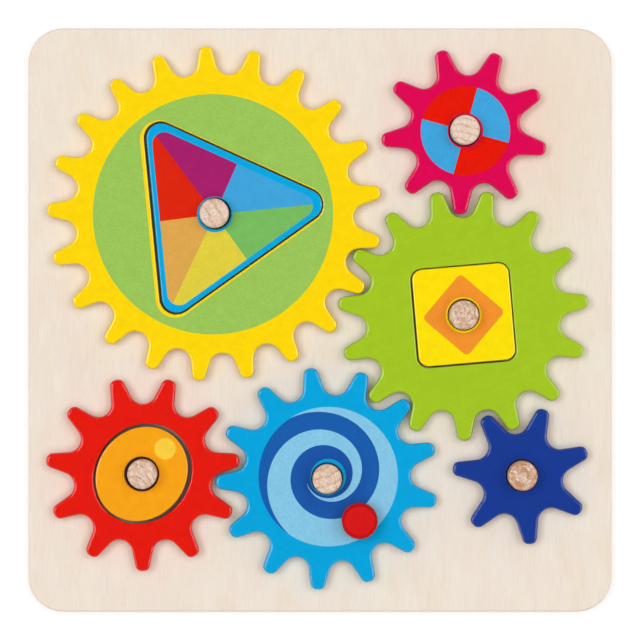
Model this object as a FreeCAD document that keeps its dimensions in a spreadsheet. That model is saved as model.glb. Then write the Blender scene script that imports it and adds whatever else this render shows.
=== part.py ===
import FreeCAD, Part

import math
import os

import Sketcher

# Crank gear toy for small children: six painted wooden gears turn on beech
# pegs that are glued into a square plywood board. The gears all mesh, so the
# red knob on the light blue gear turns the whole train. Three of the gears
# have a loose shaped insert, which runs on the peg and lifts out as a puzzle
# piece.
#
# Frame: +Z up, origin at the centre of the board's underside, +Y towards the
# board's far edge. Lengths are in millimetres and angles in degrees.

SIZES = {
    # Board
    "board_side": 300.0,
    "board_thickness": 8.0,
    "board_corner": 18.0,
    "board_edge_round": 1.2,
    # Pegs that the gears turn on
    "peg_diameter": 15.0,
    "peg_stand": 21.0,
    "peg_top_bevel": 0.9,
    "peg_foot_recess": 0.3,
    "glue_gap": 0.05,
    # Gear blanks and teeth: the tip radius grows by the same step per tooth.
    # The teeth are rounded off more than the openings, bores and inserts
    "gear_thickness": 9.0,
    "gear_edge_round": 1.5,
    "opening_edge_round": 0.8,
    "tip_offset": 10.4,
    "tip_per_tooth": 3.6,
    "tooth_height": 14.3,
    "tooth_flank_angle": 11.6,
    "tooth_tip_round": 3.3,
    "valley_round": 6.7,
    "mesh_depth": 12.55,
    "bore_play": 0.6,
    # Number of teeth
    "yellow_teeth": 21,
    "green_teeth": 15,
    "magenta_teeth": 9,
    "light_blue_teeth": 13,
    "navy_teeth": 7,
    "red_teeth": 11,
    # The green gear's place and rest angle fix those of all the others
    "green_centre_x": 73.5,
    "green_centre_y": 2.5,
    "green_rest_angle": 6.6,
    # Direction from each gear's driver to the gear
    "yellow_direction": 157.8,
    "magenta_direction": 89.6,
    "light_blue_direction": 230.2,
    "navy_direction": 290.1,
    "red_direction": 178.5,
    # Where the teeth stand in their backlash, as a share of the tooth pitch
    "yellow_lag": 0.077,
    "magenta_lag": 0.029,
    "light_blue_lag": 0.06,
    "navy_lag": 0.065,
    "red_lag": 0.083,
    # Loose inserts: reach is from the centre to the centre of a corner round,
    # play is the gap all round, and shift is how far one lies off its middle,
    # along its own X axis or turned from that axis by the shift turn
    "triangle_reach": 47.4,
    "triangle_corner": 7.7,
    "triangle_turn": -1.8,
    "triangle_play": 0.9,
    "triangle_shift": 0.35,
    "square_reach": 27.7,
    "square_corner": 5.3,
    "square_turn": 43.3,
    "square_play": 0.65,
    "square_shift": 0.25,
    "oval_long_radius": 25.4,
    "oval_short_radius": 22.6,
    "oval_turn": 42.5,
    "oval_play": 1.4,
    "oval_shift": 0.55,
    "oval_shift_turn": 148.0,
    "oval_bore_play": 1.35,
    # Crank knob on the light blue gear
    "knob_reach": 27.1,
    "knob_turn": -68.0,
    "knob_diameter": 18.4,
    "knob_height": 14.0,
    "knob_top_round": 2.8,
    "knob_foot_round": 0.8,
    "knob_dowel_diameter": 6.0,
    "knob_dowel_depth": 8.0,
}

# Each gear with the gear that drives it: the green gear drives four others
DRIVERS = {
    "green": None,
    "yellow": "green",
    "magenta": "green",
    "light_blue": "green",
    "navy": "green",
    "red": "light_blue",
}

TRIANGLE_SIDES = 3
SQUARE_SIDES = 4
# How far a cutting profile reaches past what it cuts
CUT_MARGIN = 2.0
# Largest distance at which two places count as the same
SAME_PLACE = 1e-4
FULL_TURN = 360.0


def make_sheet(doc):
    """The spreadsheet of driving dimensions, one plain number per alias."""
    sheet = doc.addObject("Spreadsheet::Sheet", "sizes")
    for row, (alias, value) in enumerate(SIZES.items(), 1):
        sheet.set(f"A{row}", alias)
        sheet.set(f"B{row}", str(value))
        sheet.setAlias(f"B{row}", alias)
    doc.recompute()
    return sheet


# Expressions on the sheet: what must line up is built from the same strings

def cell(alias):
    return f"sizes.{alias}"


def teeth(colour):
    return cell(f"{colour}_teeth")


def tip_radius(colour):
    return f"({cell('tip_offset')} + {cell('tip_per_tooth')} * {teeth(colour)})"


def mesh_distance(colour, driver):
    return f"({tip_radius(colour)} + {tip_radius(driver)} - {cell('mesh_depth')})"


def centre(colour, along, ratio):
    """A gear's centre on one axis, stepped from its driver's centre."""
    driver = DRIVERS[colour]
    if driver is None:
        return cell(f"{colour}_centre_{along}")
    step = f"{mesh_distance(colour, driver)} * {ratio}({cell(colour + '_direction')})"
    return f"({centre(driver, along, ratio)} + {step})"


def centre_x(colour):
    return centre(colour, "x", "cos")


def centre_y(colour):
    return centre(colour, "y", "sin")


def rest_angle(colour):
    """Angle of one tooth's middle, so that it stands in its driver's gap."""
    driver = DRIVERS[colour]
    if driver is None:
        return cell(f"{colour}_rest_angle")
    direction = cell(f"{colour}_direction")
    from_driver = f"{teeth(driver)} * ({direction} - {rest_angle(driver)})"
    from_gap = f"360 * (0.5 + {cell(colour + '_lag')})"
    turn = f"({direction} + 180 + ({from_driver} - {from_gap}) / {teeth(colour)})"
    return f"mod({turn}; 360 / {teeth(colour)})"


# Helpers for bodies and sketches

def origin_feature(body, role):
    return next(item for item in body.Origin.OriginFeatures if item.Role == role)


def new_body(doc, name):
    body = doc.addObject("PartDesign::Body", name)
    body.Label = name
    return body


def place(body, x, y, z, angle="0"):
    """Stand a body at a place given as expressions, turned about its own Z."""
    body.Placement = FreeCAD.Placement(
        FreeCAD.Vector(0, 0, 0), FreeCAD.Rotation(FreeCAD.Vector(0, 0, 1), 1)
    )
    body.setExpression("Placement.Base.x", x)
    body.setExpression("Placement.Base.y", y)
    body.setExpression("Placement.Base.z", z)
    body.setExpression("Placement.Rotation.Angle", angle)


def new_sketch(body, name, turn=None):
    """A sketch on the body's XY plane, turned about Z if asked."""
    sketch = body.newObject("Sketcher::SketchObject", name)
    sketch.AttachmentSupport = (origin_feature(body, "XY_Plane"), [""])
    sketch.MapMode = "FlatFace"
    if turn is not None:
        sketch.AttachmentOffset = FreeCAD.Placement(
            FreeCAD.Vector(0, 0, 0), FreeCAD.Rotation(FreeCAD.Vector(0, 0, 1), 1)
        )
        sketch.setExpression("AttachmentOffset.Rotation.Angle", turn)
    return sketch


def constrain(sketch, expression, *constraint):
    """Add a constraint with a value and bind that value to an expression."""
    index = sketch.addConstraint(Sketcher.Constraint(*constraint))
    sketch.setExpression(f"Constraints[{index}]", expression)


def value_of(sheet, expression):
    """The number that an expression on the sheet gives."""
    return float(sheet.evalExpression(expression))


def add_circle(sheet, sketch, radius, x="0", y="0"):
    """A circle of bound radius and centre."""
    middle = FreeCAD.Vector(value_of(sheet, x), value_of(sheet, y), 0)
    size = value_of(sheet, radius)
    up = FreeCAD.Vector(0, 0, 1)
    index = sketch.addGeometry(Part.Circle(middle, up, size), False)
    constrain(sketch, radius, "Radius", index, size)
    if x == "0" and y == "0":
        sketch.addConstraint(Sketcher.Constraint("Coincident", index, 3, -1, 1))
        return
    constrain(sketch, x, "DistanceX", -1, 1, index, 3, middle.x)
    constrain(sketch, y, "DistanceY", -1, 1, index, 3, middle.y)


def add_oval(sheet, sketch, play="0"):
    """The oval insert's ellipse, grown by a play, long along the X axis."""
    long_radius = f"{cell('oval_long_radius')} + {play}"
    short_radius = f"{cell('oval_short_radius')} + {play}"
    end = FreeCAD.Vector(value_of(sheet, long_radius), 0, 0)
    side = FreeCAD.Vector(0, value_of(sheet, short_radius), 0)
    ellipse = Part.Ellipse(end, side, FreeCAD.Vector(0, 0, 0))
    index = sketch.addGeometry(ellipse, False)
    sketch.exposeInternalGeometry(index)
    long_axis = index + 1
    short_axis = index + 2
    sketch.addConstraint(Sketcher.Constraint("Coincident", index, 3, -1, 1))
    sketch.addConstraint(Sketcher.Constraint("Horizontal", long_axis))
    constrain(sketch, f"2 * ({long_radius})", "Distance", long_axis, 2 * end.x)
    constrain(sketch, f"2 * ({short_radius})", "Distance", short_axis, 2 * side.y)


def add_rounded_polygon(sheet, sketch, corners, reach, corner_round):
    """A regular polygon about the origin with round corners.

    The centres of the corner rounds lie at the reach from the origin, the
    first one on the sketch's X axis. The sides are tangent to the rounds.
    """
    distance = value_of(sheet, reach)
    size = value_of(sheet, corner_round)
    up = FreeCAD.Vector(0, 0, 1)
    half_turn = math.pi / corners
    arcs = []
    for number in range(corners):
        angle = 2 * number * half_turn
        middle = FreeCAD.Vector(math.cos(angle), math.sin(angle), 0) * distance
        circle = Part.Circle(middle, up, size)
        arc = Part.ArcOfCircle(circle, angle - half_turn, angle + half_turn)
        arcs.append(sketch.addGeometry(arc, False))
    for number, arc in enumerate(arcs):
        following = arcs[(number + 1) % corners]
        start = sketch.Geometry[arc].EndPoint
        end = sketch.Geometry[following].StartPoint
        side = sketch.addGeometry(Part.LineSegment(start, end), False)
        sketch.addConstraint(Sketcher.Constraint("Tangent", arc, 2, side, 1))
        sketch.addConstraint(Sketcher.Constraint("Tangent", side, 2, following, 1))
    for number, arc in enumerate(arcs):
        angle = FULL_TURN * number / corners
        middle = sketch.Geometry[arc].Center
        constrain(sketch, f"{reach} * cos({angle})", "DistanceX", -1, 1, arc, 3, middle.x)
        constrain(sketch, f"{reach} * sin({angle})", "DistanceY", -1, 1, arc, 3, middle.y)
        constrain(sketch, corner_round, "Radius", arc, size)


def pad(body, sketch, name, length):
    feature = body.newObject("PartDesign::Pad", name)
    feature.Profile = sketch
    feature.setExpression("Length", length)
    return feature


def cut_through(body, sketch, name):
    """Cut a sketch on the underside through everything above it."""
    feature = body.newObject("PartDesign::Pocket", name)
    feature.Profile = sketch
    feature.Type = "ThroughAll"
    feature.Reversed = True
    return feature


def names_of_edges(feature, wanted):
    edges = enumerate(feature.Shape.Edges, 1)
    return [f"Edge{number}" for number, edge in edges if wanted(edge)]


def lies_at_height(edge, height):
    box = edge.BoundBox
    return abs(box.ZMin - height) < SAME_PLACE and abs(box.ZMax - height) < SAME_PLACE


def dress_edges(body, kind, name, size_property, size, wanted):
    """Fillet or chamfer those of the body's present edges that are wanted."""
    body.Document.recompute()
    base = body.Tip
    feature = body.newObject(kind, name)
    feature.Base = (base, names_of_edges(base, wanted))
    feature.setExpression(size_property, size)
    return feature


def round_edges(body, name, radius, wanted):
    return dress_edges(body, "PartDesign::Fillet", name, "Radius", radius, wanted)


def bevel_edges(body, name, size, wanted):
    return dress_edges(body, "PartDesign::Chamfer", name, "Size", size, wanted)


def soften_faces(sheet, body, name, radius, wanted=lambda edge: True):
    """Round the wanted edges of a gear's or insert's upper and lower face."""
    top = value_of(sheet, cell("gear_thickness"))

    def on_a_face(edge):
        return wanted(edge) and (lies_at_height(edge, 0) or lies_at_height(edge, top))

    round_edges(body, name, cell(radius), on_a_face)


# The pieces

def make_board(doc, sheet):
    """Square plywood board with a glue hole right through for each peg."""
    body = new_body(doc, "base_board")
    outline = new_sketch(body, "board_outline", turn="45")
    reach = f"({cell('board_side')} / 2 - {cell('board_corner')}) * sqrt(2)"
    add_rounded_polygon(sheet, outline, SQUARE_SIDES, reach, cell("board_corner"))
    pad(body, outline, "board_blank", cell("board_thickness"))
    holes = new_sketch(body, "peg_holes")
    hole_radius = f"{cell('peg_diameter')} / 2 + {cell('glue_gap')}"
    for colour in DRIVERS:
        add_circle(sheet, holes, hole_radius, centre_x(colour), centre_y(colour))
    cut_through(body, holes, "peg_hole_cuts")
    top = value_of(sheet, cell("board_thickness"))
    straight_part = value_of(sheet, f"{cell('board_side')} / 2 - {cell('board_corner')}")

    def on_the_rim(edge):
        box = edge.BoundBox
        farthest = max(-box.XMin, box.XMax, -box.YMin, box.YMax)
        on_a_face = lies_at_height(edge, 0) or lies_at_height(edge, top)
        return on_a_face and farthest > straight_part

    round_edges(body, "board_rim", cell("board_edge_round"), on_the_rim)
    return body


def make_peg(doc, sheet, colour):
    """Beech peg, glued into the board, its top edge bevelled."""
    body = new_body(doc, f"{colour}_gear_peg")
    section = new_sketch(body, "peg_section")
    add_circle(sheet, section, f"{cell('peg_diameter')} / 2")
    length = f"{cell('board_thickness')} - {cell('peg_foot_recess')} + {cell('peg_stand')}"
    pad(body, section, "peg_rod", length)
    top = value_of(sheet, length)
    bevel_edges(
        body, "peg_top", cell("peg_top_bevel"), lambda edge: lies_at_height(edge, top)
    )
    place(body, centre_x(colour), centre_y(colour), cell("peg_foot_recess"))
    return body


def add_tooth_gap(sheet, sketch, colour):
    """Gap between two teeth, its middle on the sketch's X axis.

    A round valley that touches the root circle runs tangent into two straight
    flanks, and a line beyond the tips closes the profile.
    """
    valley = value_of(sheet, cell("valley_round"))
    middle_place = f"{tip_radius(colour)} - {cell('tooth_height')} + {cell('valley_round')}"
    middle = value_of(sheet, middle_place)
    outside_place = f"{tip_radius(colour)} + {CUT_MARGIN}"
    outside = value_of(sheet, outside_place)
    slope_angle = f"{cell('tooth_flank_angle')} + 180 / {teeth(colour)}"
    slope = math.radians(value_of(sheet, slope_angle))
    circle = Part.Circle(FreeCAD.Vector(middle, 0, 0), FreeCAD.Vector(0, 0, 1), valley)
    arc = sketch.addGeometry(
        Part.ArcOfCircle(circle, math.pi / 2 + slope, 3 * math.pi / 2 - slope), False
    )
    upper = sketch.Geometry[arc].StartPoint
    lower = sketch.Geometry[arc].EndPoint
    rise = upper.y + (outside - upper.x) * math.tan(slope)
    upper_out = FreeCAD.Vector(outside, rise, 0)
    lower_out = FreeCAD.Vector(outside, -rise, 0)
    upper_flank = sketch.addGeometry(Part.LineSegment(upper, upper_out), False)
    closing = sketch.addGeometry(Part.LineSegment(upper_out, lower_out), False)
    lower_flank = sketch.addGeometry(Part.LineSegment(lower_out, lower), False)
    sketch.addConstraint([
        Sketcher.Constraint("PointOnObject", arc, 3, -1),
        Sketcher.Constraint("Tangent", arc, 1, upper_flank, 1),
        Sketcher.Constraint("Tangent", lower_flank, 2, arc, 2),
        Sketcher.Constraint("Coincident", upper_flank, 2, closing, 1),
        Sketcher.Constraint("Coincident", closing, 2, lower_flank, 1),
        Sketcher.Constraint("Symmetric", closing, 1, closing, 2, -1),
    ])
    constrain(sketch, cell("valley_round"), "Radius", arc, valley)
    constrain(sketch, middle_place, "DistanceX", -1, 1, arc, 3, middle)
    constrain(sketch, outside_place, "DistanceX", -1, 1, closing, 1, outside)
    constrain(sketch, slope_angle, "Angle", upper_flank, slope)


def make_gear(doc, sheet, colour, cut_centre):
    """Painted plywood gear: a round blank with its tooth gaps cut away.

    One tooth's middle is on the gear's own X axis. cut_centre adds the
    profile of what goes through the middle, and any other hole, to a sketch.
    """
    body = new_body(doc, f"{colour}_gear")
    blank = new_sketch(body, "blank_outline")
    add_circle(sheet, blank, tip_radius(colour))
    pad(body, blank, "gear_blank", cell("gear_thickness"))
    gap = new_sketch(body, "tooth_gap_outline", turn=f"180 / {teeth(colour)}")
    add_tooth_gap(sheet, gap, colour)
    first_gap = cut_through(body, gap, "tooth_gap")
    gaps = body.newObject("PartDesign::PolarPattern", "tooth_gaps")
    gaps.Originals = [first_gap]
    gaps.Axis = (origin_feature(body, "Z_Axis"), [""])
    gaps.Angle = FULL_TURN
    gaps.setExpression("Occurrences", teeth(colour))
    body.Tip = gaps
    tip = value_of(sheet, tip_radius(colour))
    root = tip - value_of(sheet, cell("tooth_height"))

    def distance_out(edge):
        point = edge.Vertexes[0].Point
        return math.hypot(point.x, point.y)

    def is_tooth_corner(edge):
        upright = edge.BoundBox.ZLength > SAME_PLACE
        return upright and abs(distance_out(edge) - tip) < SAME_PLACE

    def is_opening(edge):
        return distance_out(edge) < root - SAME_PLACE

    round_edges(body, "tooth_tips", cell("tooth_tip_round"), is_tooth_corner)
    cut_centre(body)
    soften_faces(sheet, body, "soft_openings", "opening_edge_round", is_opening)
    soften_faces(
        sheet, body, "soft_teeth", "gear_edge_round", lambda edge: not is_opening(edge)
    )
    place(
        body, centre_x(colour), centre_y(colour), cell("board_thickness"), rest_angle(colour)
    )
    return body


def bore_radius(play):
    return f"{cell('peg_diameter')} / 2 + {cell(play)}"


def cut_bore(sheet, body, play="bore_play"):
    """Round hole in the middle, which runs on the peg."""
    bore = new_sketch(body, "bore_outline")
    add_circle(sheet, bore, bore_radius(play))
    cut_through(body, bore, "bore")


def knob_dowel_hole():
    return f"{cell('knob_dowel_diameter')} / 2 + {cell('glue_gap')}"


def cut_bore_and_knob_hole(sheet, body):
    """Bore for the peg, and a hole that the knob's dowel is glued into."""
    cut_bore(sheet, body)
    hole = new_sketch(body, "knob_hole_outline", turn=cell("knob_turn"))
    add_circle(sheet, hole, knob_dowel_hole(), cell("knob_reach"))
    cut_through(body, hole, "knob_hole")


def cut_polygon(sheet, body, shape, corners):
    """Opening for an insert: the insert's outline, grown all round by its play."""
    outline = new_sketch(body, f"{shape}_opening_outline", turn=cell(f"{shape}_turn"))
    corner_round = f"({cell(shape + '_corner')} + {cell(shape + '_play')})"
    add_rounded_polygon(sheet, outline, corners, cell(f"{shape}_reach"), corner_round)
    cut_through(body, outline, f"{shape}_opening")


def cut_oval(sheet, body):
    """Opening for the oval insert, longer and wider than it by its play."""
    outline = new_sketch(body, "oval_opening_outline", turn=cell("oval_turn"))
    add_oval(sheet, outline, cell("oval_play"))
    cut_through(body, outline, "oval_opening")


def place_insert(body, shape, colour, shift_turn="0"):
    """Lay an insert in its gear, pushed aside in its loose fit by its shift."""
    angle = f"{rest_angle(colour)} + {cell(shape + '_turn')}"
    shift = cell(f"{shape}_shift")
    x = f"{centre_x(colour)} + {shift} * cos({angle} + {shift_turn})"
    y = f"{centre_y(colour)} + {shift} * sin({angle} + {shift_turn})"
    place(body, x, y, cell("board_thickness"), angle)


def make_polygon_insert(doc, sheet, shape, corners, colour):
    """Puzzle piece with round corners that fills a gear and runs on its peg."""
    body = new_body(doc, f"{shape}_insert")
    outline = new_sketch(body, f"{shape}_outline")
    add_rounded_polygon(
        sheet, outline, corners, cell(f"{shape}_reach"), cell(f"{shape}_corner")
    )
    pad(body, outline, f"{shape}_blank", cell("gear_thickness"))
    cut_bore(sheet, body)
    soften_faces(sheet, body, "soft_edges", "opening_edge_round")
    place_insert(body, shape, colour)
    return body


def make_oval_insert(doc, sheet, colour):
    """Oval puzzle piece with a roomy bore."""
    body = new_body(doc, "oval_insert")
    outline = new_sketch(body, "oval_outline")
    add_oval(sheet, outline)
    pad(body, outline, "oval_blank", cell("gear_thickness"))
    cut_bore(sheet, body, "oval_bore_play")
    soften_faces(sheet, body, "soft_edges", "opening_edge_round")
    place_insert(body, "oval", colour, cell("oval_shift_turn"))
    return body


def knob_place(colour):
    """The knob axis on its gear, as expressions for x and y."""
    angle = f"{rest_angle(colour)} + {cell('knob_turn')}"
    x = f"{centre_x(colour)} + {cell('knob_reach')} * cos({angle})"
    y = f"{centre_y(colour)} + {cell('knob_reach')} * sin({angle})"
    return x, y


def make_knob(doc, sheet, colour):
    """Turned knob with a rounded top and a blind hole for its dowel."""
    body = new_body(doc, "crank_knob")
    section = new_sketch(body, "knob_section")
    add_circle(sheet, section, f"{cell('knob_diameter')} / 2")
    pad(body, section, "knob_blank", cell("knob_height"))
    hole = new_sketch(body, "dowel_hole_outline")
    add_circle(sheet, hole, knob_dowel_hole())
    dowel_hole = body.newObject("PartDesign::Pocket", "dowel_hole")
    dowel_hole.Profile = hole
    dowel_hole.Reversed = True
    dowel_hole.setExpression("Length", f"{cell('knob_dowel_depth')} + {cell('glue_gap')}")
    top = value_of(sheet, cell("knob_height"))
    rim = value_of(sheet, cell("knob_diameter")) / 2

    def is_top_rim(edge):
        return lies_at_height(edge, top)

    def is_foot_rim(edge):
        return lies_at_height(edge, 0) and edge.BoundBox.XMax > rim - SAME_PLACE

    round_edges(body, "knob_top", cell("knob_top_round"), is_top_rim)
    round_edges(body, "knob_foot", cell("knob_foot_round"), is_foot_rim)
    x, y = knob_place(colour)
    place(body, x, y, f"{cell('board_thickness')} + {cell('gear_thickness')}")
    return body


def make_knob_dowel(doc, sheet, colour):
    """Small dowel that joins the knob to the gear, glued in both."""
    body = new_body(doc, "knob_dowel")
    section = new_sketch(body, "dowel_section")
    add_circle(sheet, section, f"{cell('knob_dowel_diameter')} / 2")
    in_gear = f"{cell('gear_thickness')} - {cell('peg_foot_recess')}"
    pad(body, section, "dowel_rod", f"{in_gear} + {cell('knob_dowel_depth')}")
    x, y = knob_place(colour)
    place(body, x, y, f"{cell('board_thickness')} + {cell('peg_foot_recess')}")
    return body


def make_parts(doc, sheet):
    """Every piece of the toy, each as a body of its own."""
    parts = [make_board(doc, sheet)]
    parts += [make_peg(doc, sheet, colour) for colour in DRIVERS]
    centre_cuts = {
        "yellow": lambda body: cut_polygon(sheet, body, "triangle", TRIANGLE_SIDES),
        "green": lambda body: cut_polygon(sheet, body, "square", SQUARE_SIDES),
        "red": lambda body: cut_oval(sheet, body),
        "light_blue": lambda body: cut_bore_and_knob_hole(sheet, body),
        "magenta": lambda body: cut_bore(sheet, body),
        "navy": lambda body: cut_bore(sheet, body),
    }
    for colour, cut_centre in centre_cuts.items():
        parts.append(make_gear(doc, sheet, colour, cut_centre))
    parts.append(make_polygon_insert(doc, sheet, "triangle", TRIANGLE_SIDES, "yellow"))
    parts.append(make_polygon_insert(doc, sheet, "square", SQUARE_SIDES, "green"))
    parts.append(make_oval_insert(doc, sheet, "red"))
    parts.append(make_knob(doc, sheet, "light_blue"))
    parts.append(make_knob_dowel(doc, sheet, "light_blue"))
    return parts


def check(doc, parts):
    """Stop if anything failed to build."""
    for item in doc.Objects:
        if "Invalid" in item.State or "Error" in item.State:
            raise RuntimeError(f"{item.Label} failed: {item.State}")
    for part in parts:
        if part.Shape.isNull() or not part.Shape.isValid():
            raise RuntimeError(f"{part.Label} has no valid shape")
        if len(part.Shape.Solids) != 1:
            raise RuntimeError(f"{part.Label} is not one solid")


def main():
    doc = FreeCAD.newDocument("crank_gear_toy")
    sheet = make_sheet(doc)
    parts = make_parts(doc, sheet)
    doc.recompute()
    check(doc, parts)
    os.makedirs("parts", exist_ok=True)
    for part in parts:
        part.Shape.exportStep(f"parts/{part.Label}.step")
        print(part.Label, round(part.Shape.Volume))


main()
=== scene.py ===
import math

import bmesh
import bpy
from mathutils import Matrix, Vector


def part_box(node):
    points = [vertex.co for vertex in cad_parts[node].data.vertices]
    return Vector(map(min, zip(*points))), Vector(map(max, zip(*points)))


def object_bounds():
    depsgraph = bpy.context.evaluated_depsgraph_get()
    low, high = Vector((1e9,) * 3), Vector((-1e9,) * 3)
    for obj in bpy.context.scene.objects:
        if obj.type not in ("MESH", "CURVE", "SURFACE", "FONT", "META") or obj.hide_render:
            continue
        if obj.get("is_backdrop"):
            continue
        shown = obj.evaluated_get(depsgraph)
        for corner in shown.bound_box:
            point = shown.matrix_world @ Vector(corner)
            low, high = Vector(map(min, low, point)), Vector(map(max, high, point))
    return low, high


# The crank gear toy in the studio: painted and printed plywood gears and
# inserts, bare beech pegs, a pale plywood board and a red turned knob.
# Patterns and sizes are in millimetres, unless a comment says metres. Angles
# are in degrees and run anticlockwise from +X, seen from above.

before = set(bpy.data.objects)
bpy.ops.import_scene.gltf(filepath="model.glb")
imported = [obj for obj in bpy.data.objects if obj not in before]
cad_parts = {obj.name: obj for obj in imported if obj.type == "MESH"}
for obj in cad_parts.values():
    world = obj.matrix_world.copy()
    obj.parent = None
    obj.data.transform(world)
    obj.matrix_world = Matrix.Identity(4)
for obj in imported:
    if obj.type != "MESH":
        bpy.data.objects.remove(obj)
cad_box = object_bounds()

MM = 0.001
FULL_TURN = 2 * math.pi

# Plywood: the gears lie on the board, whose underside is at height 0
BOARD_THICKNESS = 8.0
BOARD_PLIES = 5
GEAR_THICKNESS = 9.0
GEAR_PLIES = 7
GEAR_TOP = BOARD_THICKNESS + GEAR_THICKNESS

# Screen printing: how wide the edge of the ink is, how thick the ink is, and
# the radius inside which the prints leave the paint bare round a bore
INK_BLEED = 0.12
INK_RELIEF = 0.02
BORE_RIM = 9.15

# Camera: its distance and the width of its view in metres, and its sensor
CAMERA_DISTANCE = 2.5
VIEW_WIDTH = 0.3293
SENSOR = 36.0

# Light of the room at the foot of its walls and at its ceiling, and of the
# bright panels on both sides, which only reflections show. The panels lie
# beyond these parts of the way out along X and up
WALL_LIGHT = 0.85
CEILING_LIGHT = 0.01
PANEL_LIGHT = 4.5
PANEL_SIDE = (0.7, 0.8)
PANEL_HEIGHT = (0.3, 0.38)

# The part of the floor's white that takes the light and shadows, how far it
# lies under the board, and how far it reaches to each side, in metres
FLOOR_SHARE = 0.45
FLOOR_GAP = 0.05
FLOOR_REACH = 8.0

# The room's light is warm and the lamps at the sides are cool, so that a
# colour in the open keeps its tone and the shadows are warm
ROOM_TINT = (1.16, 1.0, 0.86, 1)
WARM = (1.0, 1.0, 0.94)
COOL = (0.82, 1.0, 1.26)

# Each lamp's share of the light, height and direction in degrees, spread and
# tint. The lamp above is polarised, so it leaves no haze on the paint
LAMPS = {
    "above": (0.62, 90.0, 0.0, 60.0, WARM),
    "left": (0.17, 66.0, 165.0, 22.0, COOL),
    "right": (0.12, 61.0, 14.0, 30.0, COOL),
}
POLARISED = "above"


# Nodes

def linear(level):
    """The linear amount of a screen level from 0 to 255."""
    part = level / 255
    return part / 12.92 if part <= 0.04045 else ((part + 0.055) / 1.055) ** 2.4


def colour(red, green, blue):
    return (linear(red), linear(green), linear(blue), 1)


class Value:
    """A socket that varies over a surface. Operators on it add Math nodes."""

    def __init__(self, finish, socket):
        self.finish = finish
        self.socket = socket

    def maths(self, operation, *others):
        inputs = dict(enumerate((self, *others)))
        return self.finish.node("Math", {"operation": operation}, inputs)

    def __add__(self, other):
        return self.maths("ADD", other)

    __radd__ = __add__

    def __mul__(self, other):
        return self.maths("MULTIPLY", other)

    __rmul__ = __mul__

    def __sub__(self, other):
        return self.maths("SUBTRACT", other)

    def __rsub__(self, other):
        return self.maths("MULTIPLY_ADD", -1, other)

    def __truediv__(self, other):
        return self.maths("DIVIDE", other)

    def __mod__(self, other):
        return self.maths("FLOORED_MODULO", other)

    def __gt__(self, other):
        return self.maths("GREATER_THAN", other)

    def __lt__(self, other):
        return self.maths("LESS_THAN", other)

    def __abs__(self):
        return self.maths("ABSOLUTE")

    def parts(self):
        """The X, Y and Z of a vector."""
        first = self.finish.node("SeparateXYZ", {}, {0: self})
        return [Value(self.finish, socket) for socket in first.socket.node.outputs]


class Finish:
    """The nodes of one material, or of the world."""

    def __init__(self, tree, seed=0):
        self.tree = tree
        self.seed = seed
        tree.nodes.clear()

    def node(self, kind, settings, inputs, output=0):
        """Add a node: its settings, then its inputs. Returns one of its outputs."""
        made = self.tree.nodes.new("ShaderNode" + kind)
        for name, setting in settings.items():
            if name == "stops":
                set_stops(made.color_ramp, *setting)
            else:
                setattr(made, name, setting)
        for name, value in inputs.items():
            if isinstance(value, Value):
                self.tree.links.new(value.socket, made.inputs[name])
            else:
                made.inputs[name].default_value = value
        return Value(self, made.outputs[output]) if made.outputs else None

    def vectors(self, operation, inputs):
        return self.node("VectorMath", {"operation": operation}, inputs)

    def point(self, centre=(0, 0), turn=0):
        """Place on the piece in millimetres, about a centre and turned with it."""
        here = self.node("TexCoord", {}, {}, "Object")
        middle = (centre[0] * MM, centre[1] * MM, 0)
        turned = (0, 0, math.radians(turn))
        inputs = {"Vector": here, "Location": middle, "Rotation": turned}
        local = self.node("Mapping", {"vector_type": "TEXTURE"}, inputs)
        return self.vectors("SCALE", {0: local, "Scale": 1 / MM})

    def facing(self):
        """Which way the surface faces, as X, Y and Z from -1 to 1."""
        return self.node("TexCoord", {}, {}, "Normal").parts()

    def noise(self, point, sizes, draw, detail=2.0, twist=0.0):
        """Noise from 0 to 1 in blotches of these sizes, another for each draw."""
        seed = self.seed
        start = (3.7 * draw + 11.3 * seed, 5.9 * draw, 2.3 * draw + 7.1 * seed)
        cells = self.vectors("DIVIDE", {0: point, 1: sizes})
        cells = self.vectors("ADD", {0: cells, 1: start})
        inputs = {"Vector": cells, "Detail": detail, "Distortion": twist}
        return self.node("TexNoise", {}, {"Scale": 1.0, **inputs})

    def blend(self, mask, under, over):
        """One colour, with another over it where the mask is 1."""
        settings = {"data_type": "RGBA"}
        return self.node("Mix", settings, {0: mask, 6: under, 7: over}, output=2)

    def shade(self, tone, amount):
        """A colour made darker below an amount of 1 and lighter above it."""
        first = tone if isinstance(tone, Value) else tone[:3]
        return self.vectors("SCALE", {0: first, "Scale": amount})

    def ramp(self, value, interpolation, stops):
        return self.node("ValToRGB", {"stops": (interpolation, stops)}, {0: value})

    def surface(self, tone, roughness, height, **constants):
        """The end of a material. The height is its relief in millimetres."""
        bump = self.node("Bump", {}, {"Height": height, "Distance": MM})
        inputs = {"Base Color": tone, "Roughness": roughness, "Normal": bump}
        for name, constant in constants.items():
            inputs[name.replace("_", " ")] = constant
        shader = self.node("BsdfPrincipled", {}, inputs)
        self.node("OutputMaterial", {}, {"Surface": shader})


def set_stops(ramp, interpolation, stops):
    """Give a ramp its stops, each a place from 0 to 1 and a colour."""
    ramp.interpolation = interpolation
    while len(ramp.elements) < len(stops):
        ramp.elements.new(1.0)
    for element, (place, tone) in zip(ramp.elements, stops):
        element.position = place
        element.color = tone


def between(value, low, high):
    """0 up to low, 1 from high on, and even steps from one to the other."""
    return value.finish.node("MapRange", {}, {0: value, 1: low, 2: high})


def length(x, y):
    return (x * x + y * y).maths("SQRT")


def angle_of(x, y):
    return y.maths("ARCTAN2", x)


def swing(noise, amount):
    """Noise made to swing evenly to both sides of 0."""
    return (noise - 0.5) * amount


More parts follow.
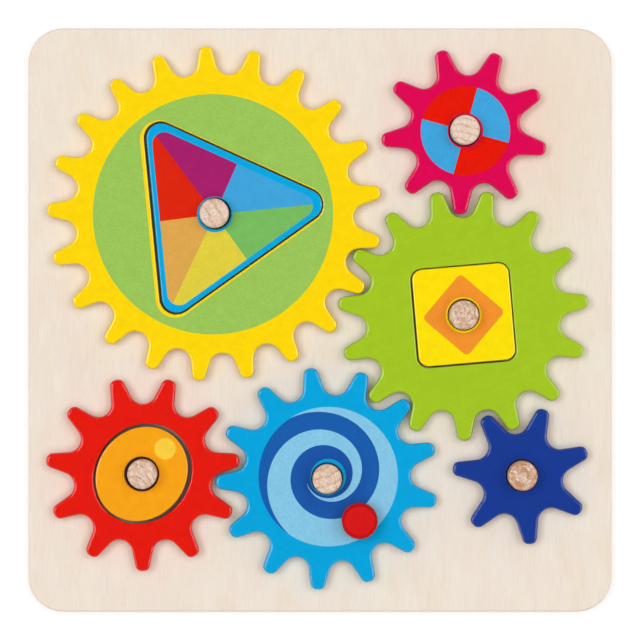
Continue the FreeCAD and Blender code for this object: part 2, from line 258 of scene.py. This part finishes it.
def inked(depth):
    """1 where a point lies inside a print's edge by this depth, 0 outside it."""
    return between(depth, -INK_BLEED / 2, INK_BLEED / 2)


def new_finish(name, seed=0):
    material = bpy.data.materials.new(name)
    material.use_nodes = True
    return material, Finish(material.node_tree, seed)


def depth_in_polygon(x, y, sides, reach, corner, turn):
    """How deep a point lies in a regular polygon with round corners.

    The corner rounds are centred at the reach, the first one at the turn.
    """
    half = math.pi / sides
    angle = (angle_of(x, y) + (half - math.radians(turn))) % (2 * half) - half
    radius = length(x, y)
    along = radius * angle.maths("COSINE")
    across = abs(radius * angle.maths("SINE"))
    to_side = (along - reach) * math.cos(half) + across * math.sin(half)
    to_corner = length(along - reach, across)
    past_side = (along - reach) * math.sin(half) > across * math.cos(half)
    return corner - (to_side + past_side * (to_corner - to_side))


# Prints: each takes the place on the piece and the paint under it, and gives
# the colour with the print on it and the mask of its ink

PRINT_GREEN = colour(155, 195, 86)
PRINT_ORANGE = colour(240, 144, 43)
PRINT_YELLOW = colour(248, 202, 61)
PRINT_RED = colour(229, 20, 0)
PRINT_SKY = colour(63, 162, 216)

GREEN_DISC_RADIUS = 61.6
OPENING_RIM = {"sides": 3, "reach": 47.4, "corner": 9.8, "turn": 5.7}
SEGMENTS_EDGE = {"sides": 3, "reach": 44.4, "corner": 6.1, "turn": 5.7}
DIAMOND = {"sides": 4, "reach": 17.7, "corner": 2.6, "turn": 4.9}
QUARTERS_RADIUS = 22.9
QUARTERS_TURN = 74.5
DOT_RADIUS = 5.5
DOT_PLACE = (11.3, 12.7)

# The triangle's segments, anticlockwise from the first boundary: where each
# one starts, counted from that boundary, and its colour
SEGMENTS_START = 5.8
SEGMENTS = [
    (0.0, PRINT_SKY),
    (60.3, colour(165, 29, 104)),
    (120.9, colour(220, 35, 8)),
    (181.1, colour(221, 165, 77)),
    (238.6, colour(225, 204, 61)),
    (299.0, colour(120, 185, 93)),
]

# The spiral: its disc, where its pale band starts and how far it winds, both
# of its edges as spiral_edge() takes them, where the tip of the band gets
# thinner, in radians of winding, and by how much, and the radii between which
# the dark band gets lighter. Its darker middle is partly darker ink and partly
# the peg's painted shade
SPIRAL_PALE = colour(133, 196, 225)
SPIRAL_DARK = colour(24, 91, 168)
SPIRAL_INK_AND_SHADE = colour(26, 80, 160)
SPIRAL_RADIUS = 35.75
SPIRAL_START = 123.0
SPIRAL_LENGTH = 645
SPIRAL_OUTER = (2.2, 77.4, -0.192, 1.04, 0.13)
SPIRAL_INNER = (4.1, 30.8, -0.144, 0.94, 0.48)
SPIRAL_TIP = (9.6, 11.2)
SPIRAL_TIP_LOSS = 0.5
SPIRAL_FADE = (12, 24)


def green_disc(finish, x, y, under):
    """Disc with a thin unprinted rim round the triangular opening."""
    rim = depth_in_polygon(x, y, **OPENING_RIM)
    ink = inked(GREEN_DISC_RADIUS - length(x, y)) * inked(0 - rim)
    return finish.blend(ink, under, PRINT_GREEN), ink


def six_segments(finish, x, y, under):
    angle = angle_of(x, y) - math.radians(SEGMENTS_START)
    share = (angle % FULL_TURN) / FULL_TURN
    stops = [(start / 360, tone) for start, tone in SEGMENTS]
    tones = finish.ramp(share, "CONSTANT", stops)
    triangle = depth_in_polygon(x, y, **SEGMENTS_EDGE)
    ink = inked(triangle) * inked(length(x, y) - BORE_RIM)
    return finish.blend(ink, under, tones), ink


def diamond(finish, x, y, under):
    ink = inked(depth_in_polygon(x, y, **DIAMOND))
    ink = ink * inked(length(x, y) - BORE_RIM)
    return finish.blend(ink, under, PRINT_ORANGE), ink


def quartered_disc(finish, x, y, under):
    """Disc in four quarters, red facing red and sky blue facing sky blue."""
    turn = math.radians(QUARTERS_TURN)
    along = x * math.cos(turn) + y * math.sin(turn)
    across = y * math.cos(turn) - x * math.sin(turn)
    tones = finish.blend(inked(along * across), PRINT_SKY, PRINT_RED)
    ink = inked(QUARTERS_RADIUS - length(x, y)) * inked(length(x, y) - BORE_RIM)
    return finish.blend(ink, under, tones), ink


def dot(finish, x, y, under):
    ink = inked(DOT_RADIUS - length(x - DOT_PLACE[0], y - DOT_PLACE[1]))
    return finish.blend(ink, under, PRINT_YELLOW), ink


def spiral_edge(along, least, reach, decay, wave, phase):
    """Radius of an edge of the pale band, which closes in as it winds along."""
    closing = least + reach * (along * decay).maths("EXPONENT")
    return closing + wave * (along + phase).maths("COSINE")


def spiral(finish, x, y, under):
    """Dark disc with a pale band that winds clockwise to the middle."""
    radius = length(x, y)
    wound = (math.radians(SPIRAL_START) - angle_of(x, y)) % FULL_TURN
    pale = 0
    for turns in range(2):
        along = wound + turns * FULL_TURN
        outer = spiral_edge(along, *SPIRAL_OUTER)
        inner = spiral_edge(along, *SPIRAL_INNER)
        inner = inner + between(along, *SPIRAL_TIP) * SPIRAL_TIP_LOSS
        band = inked(outer - radius) * inked(radius - inner)
        pale = band * (along < math.radians(SPIRAL_LENGTH)) + pale
    # Partly painted shade: the dark band is darker near the peg
    dark = finish.blend(between(radius, *SPIRAL_FADE), SPIRAL_INK_AND_SHADE, SPIRAL_DARK)
    tones = finish.blend(pale, dark, SPIRAL_PALE)
    ink = inked(SPIRAL_RADIUS - radius) * inked(radius - BORE_RIM)
    return finish.blend(ink, under, tones), ink


# Finishes

# Seeds of the noise: the painted pieces and the pegs count on from theirs
BOARD_SEED = 1
PAINT_SEED = 2
KNOB_SEED = 12
PEG_SEED = 20
DOWEL_SEED = 30

# How far a glue line is from the middle of its ply, as a part of the ply
GLUE_LINE = (0.42, 0.48)

# How little a surface faces up where it begins to count as a wall, and where
# it is one altogether
WALL_TILT = (0.75, 0.45)


def plies(height, count, thickness):
    """Whether a ply on a sawn edge is an odd one, and the glue lines between."""
    layer = height * (count / thickness)
    odd = (layer % 2) > 1
    seam = between(abs(layer % 1 - 0.5), *GLUE_LINE)
    return odd, seam


BOARD_CREAM = colour(236, 222, 205)
BOARD_PINK = colour(235, 215, 201)
BOARD_TAN = colour(234, 212, 186)
BOARD_PALE = colour(236, 225, 211)
PAINTED_SHADE_BROWN = colour(96, 62, 44)
PLY_ALONG = colour(229, 209, 180)
PLY_ACROSS = colour(205, 176, 140)
PLY_GLUE = colour(150, 115, 82)

# Patches on the board's face: their sizes, draw, detail and twist as noise()
# takes them, the noise levels they fade in between, their strength and colour
BOARD_PATCHES = [
    ((9, 48, 48), 2, 3, 0.4, (0.4, 0.7), 0.7, BOARD_PINK),
    ((13, 24, 24), 3, 4, 0.6, (0.5, 0.72), 0.5, BOARD_TAN),
    ((16, 22, 22), 7, 4, 0.0, (0.5, 0.7), 0.5, BOARD_PALE),
]
BOARD_PORES = (0.62, 0.8)

# Browner wood near one corner, twice as long as it is wide: its middle, and
# the distances to its sides at which it is gone and in full
TAN_PLACE = (118, 105)
TAN_FADE = (42, 6)

# How far from its peg each loose insert reaches, and how dark the board is
# painted under it: painted shade, for the dark gap round the insert
INSERT_REACH = {"yellow": 58, "green": 31.5, "red": 26}
UNDER_INSERT_SHADE = 0.7

# The painted shade round a peg, for the dark gap between the peg and its
# bore: the radii at which it is gone and in full, and its strength
PEG_GAP_SHADE_RADII = (10.4, 9.2)
PEG_GAP_SHADE_STRENGTH = 0.85


def board_plywood():
    """Pale sanded plywood: faint upright grain, and its plies on the edge.

    Round each peg the board is painted dark, painted shade for the gap between
    the peg and its bore, and under each loose insert it is painted darker,
    painted shade for the gap round the insert.
    """
    material, finish = new_finish("board_plywood", BOARD_SEED)
    point = finish.point()
    x, y, height = point.parts()
    _, side_y, up = [abs(part) for part in finish.facing()]
    streaks = finish.noise(point, (0.8, 14, 14), 1, detail=3, twist=0.2)
    pores = finish.noise(point, (0.4, 3.5, 3.5), 4, detail=1)
    pores = between(pores, *BOARD_PORES)
    face = BOARD_CREAM
    for sizes, draw, detail, twist, levels, strength, tone in BOARD_PATCHES:
        patches = between(finish.noise(point, sizes, draw, detail, twist), *levels)
        face = finish.blend(patches * strength, face, tone)
    from_middle = length(x - TAN_PLACE[0], (y - TAN_PLACE[1]) * 0.5)
    corner = between(from_middle, *TAN_FADE)
    face = finish.blend(corner * (0.3 + streaks * 0.6), face, BOARD_TAN)
    face = finish.shade(face, 1 + swing(streaks, 0.16) - pores * 0.06)
    for gear in PEG_GRAIN:
        peg_x, peg_y = middle_of(f"{gear}_gear_peg")
        from_peg = length(x - peg_x, y - peg_y)
        # Painted shade under each loose insert, which shows in the gap round it
        if gear in INSERT_REACH:
            reach = INSERT_REACH[gear]
            insert_shade = between(from_peg, reach + 1, reach - 1)
            face = finish.blend(insert_shade * UNDER_INSERT_SHADE, face, PAINTED_SHADE_BROWN)
        # Painted shade in the gap between the peg and its bore
        gap_shade = between(from_peg, *PEG_GAP_SHADE_RADII)
        face = finish.blend(gap_shade * PEG_GAP_SHADE_STRENGTH, face, PAINTED_SHADE_BROWN)

    # The plies lie crosswise, so each shows end grain on two sides of the board
    odd, seam = plies(height, BOARD_PLIES, BOARD_THICKNESS)
    across = between(side_y, 0.5, 0.8)
    end_grain = odd + across - 2 * odd * across
    specks = finish.noise(point, (0.35, 0.35, 0.5), 5, detail=3)
    lines = finish.noise(point, (18, 18, 0.35), 6, detail=3)
    long_tone = finish.shade(PLY_ALONG, 0.9 + lines * 0.2)
    end_tone = finish.shade(PLY_ACROSS, 0.8 + specks * 0.4)
    edge = finish.blend(end_grain, long_tone, end_tone)
    edge = finish.blend(seam * 0.7, edge, PLY_GLUE)
    wall = between(up, *WALL_TILT)
    tone = finish.blend(wall, face, edge)
    rough = 0.62 + swing(streaks, 0.16) + wall * end_grain * 0.15
    face_relief = swing(streaks, 0.05) - pores * 0.05
    edge_relief = specks * 0.1 - seam * 0.12 - end_grain * 0.05
    relief = face_relief + wall * (edge_relief - face_relief)
    finish.surface(tone, rough, relief, Specular_IOR_Level=0.35)
    return material


VARNISH = {"Specular_IOR_Level": 0.03, "Coat_Weight": 1.0, "Coat_Roughness": 0.06}

# How much darker the paint is painted deep in the gaps, as painted shade: on
# the walls of an opening or bore, and on the outer walls of a loose insert.
# The painted shade begins and is in full at these depths below the top
OPENING_WALL_SHADE = 0.75
INSERT_WALL_SHADE = 0.55
WALL_SHADE_DEPTHS = (0.6, 2)

# How much a surface faces up where a print begins to show, and shows in full
PRINT_TILT = (0.9, 0.97)

# The turn of the grain from one painted piece to the next
GRAIN_TURN = 37.0


def painted_plywood(name, paint, seed, centre, is_loose, draw_print, print_shift):
    """Satin paint that lets the grain and the plies show through as relief."""
    material, finish = new_finish(name, seed)
    point = finish.point(centre)
    out_x, out_y, height = point.parts()
    side_x, side_y, up = finish.facing()
    wall = between(abs(up), *WALL_TILT)
    top = between(up, *PRINT_TILT)
    inward = out_x * side_x + out_y * side_y < 0
    # Painted shade on the walls that face the gaps
    wall_shade = inward * OPENING_WALL_SHADE
    if is_loose:
        wall_shade = inward * (OPENING_WALL_SHADE - INSERT_WALL_SHADE) + INSERT_WALL_SHADE
    wall_shade_heights = [GEAR_TOP - depth for depth in WALL_SHADE_DEPTHS]
    wall_shade = wall_shade * between(height, *wall_shade_heights)
    along_grain = finish.point(centre, turn=GRAIN_TURN * seed)
    grain = finish.noise(along_grain, (0.8, 24, 24), 1, detail=3)
    mottle = finish.noise(point, (5, 5, 5), 2, detail=4)
    peel = finish.noise(point, (1.3, 1.3, 1.3), 3, detail=1)
    odd, seam = plies(height - BOARD_THICKNESS, GEAR_PLIES, GEAR_THICKNESS)
    tone = paint
    ink = 0
    if draw_print:
        middle = (centre[0] + print_shift[0], centre[1] + print_shift[1])
        x, y, _ = finish.point(middle).parts()
        printed, mask = draw_print(finish, x, y, paint)
        ink = mask * top
        tone = finish.blend(top, paint, printed)
        dots = finish.noise(point, (0.55, 0.55, 0.55), 4, detail=1)
        tone = finish.shade(tone, 1 + swing(dots, 0.4) * ink)
    shade = 1 + swing(mottle, 0.16) + swing(grain, 0.08) + swing(peel, 0.1)
    tone = finish.shade(tone, shade - wall * (0.2 + odd * 0.06 + seam * 0.12))
    tone = finish.shade(tone, 1 - wall * wall_shade)
    rough = 0.36 + swing(mottle, 0.1) + wall * 0.1 + ink * 0.08
    relief = grain * 0.007 + peel * 0.005 + ink * INK_RELIEF
    relief = relief + wall * (odd * 0.04 - seam * 0.08)
    finish.surface(tone, rough, relief, **VARNISH)
    return material


BEECH_PALE = colour(234, 209, 190)
BEECH_BROWN = colour(200, 148, 114)
BEECH_RING = colour(176, 122, 88)
BEECH_RAY = colour(246, 230, 216)
BEECH_MARK = colour(96, 62, 44)
BEECH_SIDE = colour(228, 200, 176)
BEECH_FLECK = colour(160, 112, 78)

# Where the patterns in the beech fade in: the late wood on its way through a
# ring, then noise levels
LATE_WOOD = (0.6, 0.95)
LATE_WOOD_END = (1.0, 0.95)
BLOTCHES = (0.4, 0.62)
FADED_RINGS = (0.36, 0.6)
TURNED_ARCS = (0.52, 0.66)
PALE_RAYS = (0.56, 0.72)
DARK_RAYS = (0.44, 0.28)
FLECKS = (0.62, 0.7)

# The radii between which a peg's sawn end is painted darker towards its edge,
# painted shade for the gap round it, and the lathe centre's place, pale dent
# and dark hole in it
PEG_RIM_SHADE = (7.1, 7.4)
LATHE_CENTRE = (0.2, -0.3)
DENT = (1.6, 0.5)
HOLE = (0.48, 0.25)

# How much a surface faces up where it begins to be a peg's end, and is it
END_TILT = (0.35, 0.6)


def beech(name, seed, centre, grain):
    """Bare beech dowel: rings and rays on its sawn end, flecks down its side.

    The grain gives the direction and distance of the tree's heart from the
    dowel's axis, the width of its rings, how far the first ring is shifted,
    how brown the wood is and how strongly the lathe centre shows.
    """
    material, finish = new_finish(name, seed)
    turn, heart, width, first, brown, mark = grain
    point = finish.point(centre, turn)
    x, y, height = point.parts()
    up = finish.facing()[2]
    wander = finish.noise(point, (4, 4, 60), 1, detail=4)
    from_heart = length(x - heart, y) - heart + swing(wander, 3)
    ring = (from_heart / width + first) % 1
    late = between(ring, *LATE_WOOD) * between(ring, *LATE_WOOD_END)
    from_axis = length(x, y)
    around = angle_of(x - heart, y) * (heart + 4)
    polar = finish.node("CombineXYZ", {}, {0: around, 1: from_heart, 2: height})
    rays = finish.noise(polar, (0.4, 1.8, 80), 2, detail=3, twist=0.5)
    blotches = finish.noise(point, (2.6, 2.6, 40), 3, detail=4, twist=0.8)
    faded = between(finish.noise(point, (3.4, 3.4, 40), 7), *FADED_RINGS)
    turned = finish.node("CombineXYZ", {}, {0: from_axis, 1: angle_of(x, y)})
    turned = finish.noise(turned, (0.55, 1.2, 1), 6, detail=3)
    grit = finish.noise(point, (0.5, 0.5, 40), 8, detail=1)
    browned = between(blotches, *BLOTCHES) * brown
    end = finish.blend(browned, BEECH_PALE, BEECH_BROWN)
    ring_depth = min(1, 0.5 + brown * 0.7)
    end = finish.blend(late * (0.25 + faded * 0.75) * ring_depth, end, BEECH_RING)
    end = finish.blend(between(turned, *TURNED_ARCS) * brown * 0.7, end, BEECH_RING)
    end = finish.blend(between(rays, *PALE_RAYS) * 0.75, end, BEECH_RAY)
    end = finish.blend(between(rays, *DARK_RAYS) * 0.6, end, BEECH_RING)
    # Painted shade at the edge of the sawn end
    rim = between(from_axis, *PEG_RIM_SHADE)
    end = finish.shade(end, 1 + swing(grit, 0.4) - rim * 0.3)
    from_mark = length(x - LATHE_CENTRE[0], y - LATHE_CENTRE[1])
    end = finish.blend(between(from_mark, *DENT) * 0.5 * mark, end, BEECH_RAY)
    end = finish.blend(between(from_mark, *HOLE) * 0.8 * mark, end, BEECH_MARK)

    lines = finish.noise(point, (0.7, 0.7, 26), 4, detail=3)
    flecks = finish.noise(point, (0.38, 0.38, 2.4), 5, detail=1)
    flecks = between(flecks, *FLECKS)
    side = finish.shade(BEECH_SIDE, 0.86 + lines * 0.28)
    side = finish.blend(flecks * 0.6, side, BEECH_FLECK)
    # Painted shade: the side is painted darker where it stands in the gear's bore
    gap_shade = between(height, GEAR_TOP, GEAR_TOP - 1)
    side = finish.blend(gap_shade * 0.6, side, PAINTED_SHADE_BROWN)
    top = between(up, *END_TILT)
    tone = finish.blend(top, side, end)
    rough = 0.6 + swing(lines, 0.1) + top * 0.08
    relief = swing(lines, 0.04) - flecks * 0.03 + top * swing(rays, 0.06)
    finish.surface(tone, rough, relief, Specular_IOR_Level=0.3)
    return material


KNOB_RED = colour(211, 13, 13)

# How much the knob's rounded shoulder faces up at its upper and lower ends;
# the shoulder is painted darker, as painted shade
SHOULDER_TOP = (0.99, 0.85)
SHOULDER_FOOT = (0.3, 0.6)

# The distance from one ring of the lathe to the next
LATHE_STEP = 0.9


def knob_paint(centre):
    """Gloss red paint on a turned knob, with faint rings from the lathe."""
    material, finish = new_finish("knob_paint", KNOB_SEED)
    point = finish.point(centre)
    x, y, height = point.parts()
    up = finish.facing()[2]
    shaded_shoulder = between(up, *SHOULDER_TOP) * between(up, *SHOULDER_FOOT)
    mottle = finish.noise(point, (4, 4, 4), 1)
    peel = finish.noise(point, (1.2, 1.2, 1.2), 2, detail=1)
    turning = ((length(x, y) + height) * (FULL_TURN / LATHE_STEP)).maths("SINE")
    # Painted shade on the rounded shoulder
    shade = 1 + swing(mottle, 0.14) + turning * 0.012 - shaded_shoulder * 0.24
    tone = finish.shade(KNOB_RED, shade)
    rough = 0.5 + swing(mottle, 0.1)
    relief = turning * 0.004 + peel * 0.006
    finish.surface(tone, rough, relief, Specular_IOR_Level=0.1)
    return material


# Colours of the paint on each gear and insert
PAINTS = {
    "yellow_gear": colour(255, 213, 0),
    "green_gear": colour(163, 196, 33),
    "magenta_gear": colour(222, 0, 80),
    "light_blue_gear": colour(0, 162, 217),
    "navy_gear": colour(24, 57, 143),
    "red_gear": colour(229, 22, 8),
    "triangle_insert": colour(0, 165, 220),
    "square_insert": colour(254, 222, 0),
    "oval_insert": colour(247, 162, 18),
}

# The print on a piece, and how far it sits off the gear's axis
PRINTS = {
    "yellow_gear": (green_disc, (-0.75, -0.4)),
    "triangle_insert": (six_segments, (0.2, -0.45)),
    "square_insert": (diamond, (0.13, 0.09)),
    "magenta_gear": (quartered_disc, (0.37, -0.19)),
    "oval_insert": (dot, (0.17, 0.1)),
    "light_blue_gear": (spiral, (0.52, 0.97)),
}

INSERT_GEARS = {
    "triangle_insert": "yellow_gear",
    "square_insert": "green_gear",
    "oval_insert": "red_gear",
}

# The grain of each peg, as beech() takes it
PEG_GRAIN = {
    "yellow": (211.0, 45.0, 5.6, 0.38, 0.4, 0.45),
    "magenta": (256.0, 60.0, 3.6, 0.3, 0.2, 0.2),
    "green": (130.0, 3.5, 2.6, 0.3, 0.9, 1.0),
    "red": (240.0, 9.0, 2.9, 0.6, 0.6, 0.8),
    "light_blue": (111.0, 34.0, 4.4, 0.2, 0.53, 0.25),
    "navy": (80.0, 2.2, 5.2, 0.0, 1.5, 0.6),
}
DOWEL_GRAIN = (0.0, 30.0, 3.0, 0.0, 0.4, 0.0)


def middle_of(node):
    """The middle of a CAD node seen from above, in millimetres."""
    low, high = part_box(node)
    return ((low[0] + high[0]) / 2 / MM, (low[1] + high[1]) / 2 / MM)


def dress(node, material):
    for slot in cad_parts[node].material_slots:
        slot.material = material


def dress_all():
    dress("base_board", board_plywood())
    for seed, (node, paint) in enumerate(PAINTS.items(), PAINT_SEED):
        is_loose = node in INSERT_GEARS
        name = node.replace("gear", "paint").replace("insert", "paint")
        centre = middle_of(f"{INSERT_GEARS.get(node, node)}_peg")
        print_on = PRINTS.get(node, (None, (0, 0)))
        dress(node, painted_plywood(name, paint, seed, centre, is_loose, *print_on))
    for seed, (gear, grain) in enumerate(PEG_GRAIN.items(), PEG_SEED):
        node = f"{gear}_gear_peg"
        dress(node, beech(f"{gear}_peg_beech", seed, middle_of(node), grain))
    dress("crank_knob", knob_paint(middle_of("crank_knob")))
    dowel = beech("dowel_beech", DOWEL_SEED, middle_of("knob_dowel"), DOWEL_GRAIN)
    dress("knob_dowel", dowel)


# The studio

def put(name, data):
    thing = bpy.data.objects.new(name, data)
    bpy.context.scene.collection.objects.link(thing)
    return thing


def make_floor():
    """Plain pale floor that keeps the toy's shadow and looks white.

    It is clear from below, so that the board's underside can be seen.
    """
    material, finish = new_finish("pale_floor")
    pale = (FLOOR_SHARE, FLOOR_SHARE, FLOOR_SHARE, 1)
    matt = finish.node("BsdfDiffuse", {}, {"Color": pale})
    glow = finish.node("Emission", {}, {"Strength": 1 - FLOOR_SHARE})
    both = finish.node("AddShader", {}, {0: matt, 1: glow})
    seen = finish.node("LightPath", {}, {}, "Is Camera Ray")
    below = finish.node("NewGeometry", {}, {}, "Backfacing")
    clear = finish.node("BsdfTransparent", {}, {})
    floor = finish.node("MixShader", {}, {0: seen * (1 - below), 1: clear, 2: both})
    finish.node("OutputMaterial", {}, {"Surface": floor})
    mesh = bpy.data.meshes.new("floor")
    shape = bmesh.new()
    bmesh.ops.create_grid(shape, x_segments=1, y_segments=1, size=FLOOR_REACH)
    bmesh.ops.translate(shape, verts=shape.verts, vec=(0, 0, -FLOOR_GAP * MM))
    shape.to_mesh(mesh)
    shape.free()
    mesh.materials.append(material)
    put("floor", mesh)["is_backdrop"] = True


def light_the_studio():
    """Pale walls, a dark ceiling, panels, and lamps above and on each side."""
    world = bpy.data.worlds.new("studio")
    world.use_nodes = True
    bpy.context.scene.world = world
    finish = Finish(world.node_tree)
    along, _, up = finish.node("TexCoord", {}, {}, "Generated").parts()
    dim = 1 - between(up, 0, 1)
    light = dim * dim * WALL_LIGHT + CEILING_LIGHT
    seen = finish.node("LightPath", {}, {}, "Is Camera Ray")
    mirrored = finish.node("LightPath", {}, {}, "Is Glossy Ray")
    panels = between(abs(along), *PANEL_SIDE) * between(up, *PANEL_HEIGHT)
    strength = light + seen * (1 - light) + mirrored * panels * PANEL_LIGHT
    tone = finish.blend(seen, ROOM_TINT, (1, 1, 1, 1))
    sky = finish.node("Background", {}, {"Color": tone, "Strength": strength})
    finish.node("OutputWorld", {}, {"Surface": sky})
    for side, (share, height, direction, spread, tint) in LAMPS.items():
        tilt = math.radians(90 - height)
        lamp = bpy.data.lights.new(f"{side}_lamp", "SUN")
        lamp.color = tint
        lamp.energy = share * math.pi / math.cos(tilt)
        lamp.angle = math.radians(spread)
        thing = put(f"{side}_lamp", lamp)
        thing.rotation_euler = (0, tilt, math.radians(direction))
        thing.visible_glossy = side != POLARISED


def set_up_camera():
    """Straight down on the board from far away."""
    camera = bpy.data.cameras.new("camera")
    camera.sensor_width = SENSOR
    camera.lens = SENSOR * CAMERA_DISTANCE / VIEW_WIDTH
    thing = put("camera", camera)
    thing.location = (0, 0, CAMERA_DISTANCE + BOARD_THICKNESS * MM)
    bpy.context.scene.camera = thing


dress_all()
make_floor()
light_the_studio()
set_up_camera()
bpy.context.scene.view_settings.view_transform = "Standard"

sizes = {"cad": cad_box, "visual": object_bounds()}
sizes = {name: [list(corner) for corner in box] for name, box in sizes.items()}
